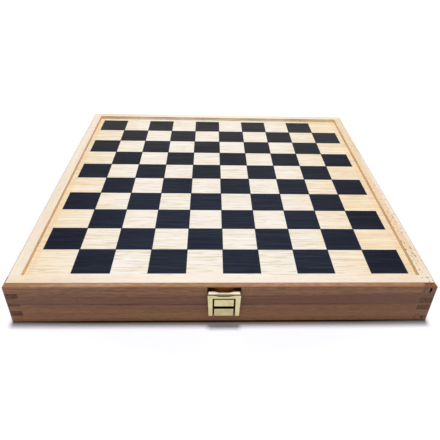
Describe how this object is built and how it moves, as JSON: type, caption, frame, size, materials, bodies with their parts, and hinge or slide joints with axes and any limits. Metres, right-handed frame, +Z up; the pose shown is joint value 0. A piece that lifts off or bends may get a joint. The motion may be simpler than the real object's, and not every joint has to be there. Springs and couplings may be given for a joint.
{
  "type": "games compendium box",
  "caption": "Hinged square wooden games box with a sunk draughts board lid, brass latch and divided tray of game pieces.",
  "frame": {"origin": "on the floor, under the middle of the closed box", "axes": "+Z up, -Y towards the latch, +X to the right seen from the latch side"},
  "size_m": [0.3336, 0.3403, 0.0406],
  "materials": {
    "beech": "satin",
    "veneer": "satin",
    "black_print": "matte",
    "plywood": "matte",
    "divider_wood": "matte",
    "brass": "polished",
    "light_men": "satin",
    "dark_men": "satin",
    "domino_black": "satin",
    "white_paint": "satin",
    "dice_ivory": "gloss",
    "black_paint": "satin",
    "red_paint": "satin",
    "yellow_paint": "satin",
    "green_paint": "satin",
    "blue_paint": "satin",
    "playing_cards": "satin",
    "pad_card": "matte",
    "pad_paper": "matte",
    "pencil_paint": "satin",
    "pencil_lead": "satin",
    "stick_wood": "matte"
  },
  "bodies": {
    "base": {"base_front_board": "beech", "base_right_board": "beech", "base_back_board": "beech", "base_left_board": "beech", "bottom_panel": "plywood", "left_long_divider": "divider_wood", "right_long_divider": "divider_wood", "domino_divider": "divider_wood", "draughtsmen_divider": "divider_wood", "card_divider": "divider_wood", "pawn_divider": "divider_wood", "dice_divider": "divider_wood", "left_hinge_base_leaf": "brass", "right_hinge_base_leaf": "brass", "left_hinge_pin": "brass", "right_hinge_pin": "brass", "base_hinge_screws": "brass", "latch_keeper": "brass", "keeper_nails": "brass", "light_draughtsmen": "light_men", "dark_draughtsmen": "dark_men", "dominoes": "domino_black", "domino_pips": "white_paint", "dice": "dice_ivory", "dice_pips": "black_paint", "red_pawns": "red_paint", "yellow_pawns": "yellow_paint", "green_pawns": "green_paint", "blue_pawns": "blue_paint", "card_pack": "playing_cards", "pad_backing": "pad_card", "pad_sheets": "pad_paper", "pencil_body": "pencil_paint", "pencil_lead": "pencil_lead", "pick_up_sticks": "stick_wood"},
    "lid": {"lid_front_board": "beech", "lid_right_board": "beech", "lid_back_board": "beech", "lid_left_board": "beech", "board_panel": "plywood", "board_veneer": "veneer", "dark_squares": "black_print", "left_hinge_lid_leaf": "brass", "right_hinge_lid_leaf": "brass", "lid_hinge_screws": "brass", "latch_lid_plate": "brass", "lid_plate_nails": "brass"},
    "hasp": {"latch_hasp": "brass", "latch_pin": "brass"}
  },
  "joints": [
    {"name": "lid_hinge", "type": "hinge", "parent": "base", "child": "lid", "pos_m": [0, 0.1678, 0.02], "axis": [-1, 0, 0], "range_deg": [0, 160]},
    {"name": "hasp_pivot", "type": "hinge", "parent": "lid", "child": "hasp", "pos_m": [0.0001, -0.1664, 0.03125], "axis": [-1, 0, 0], "range_deg": [0, 90]}
  ]
}
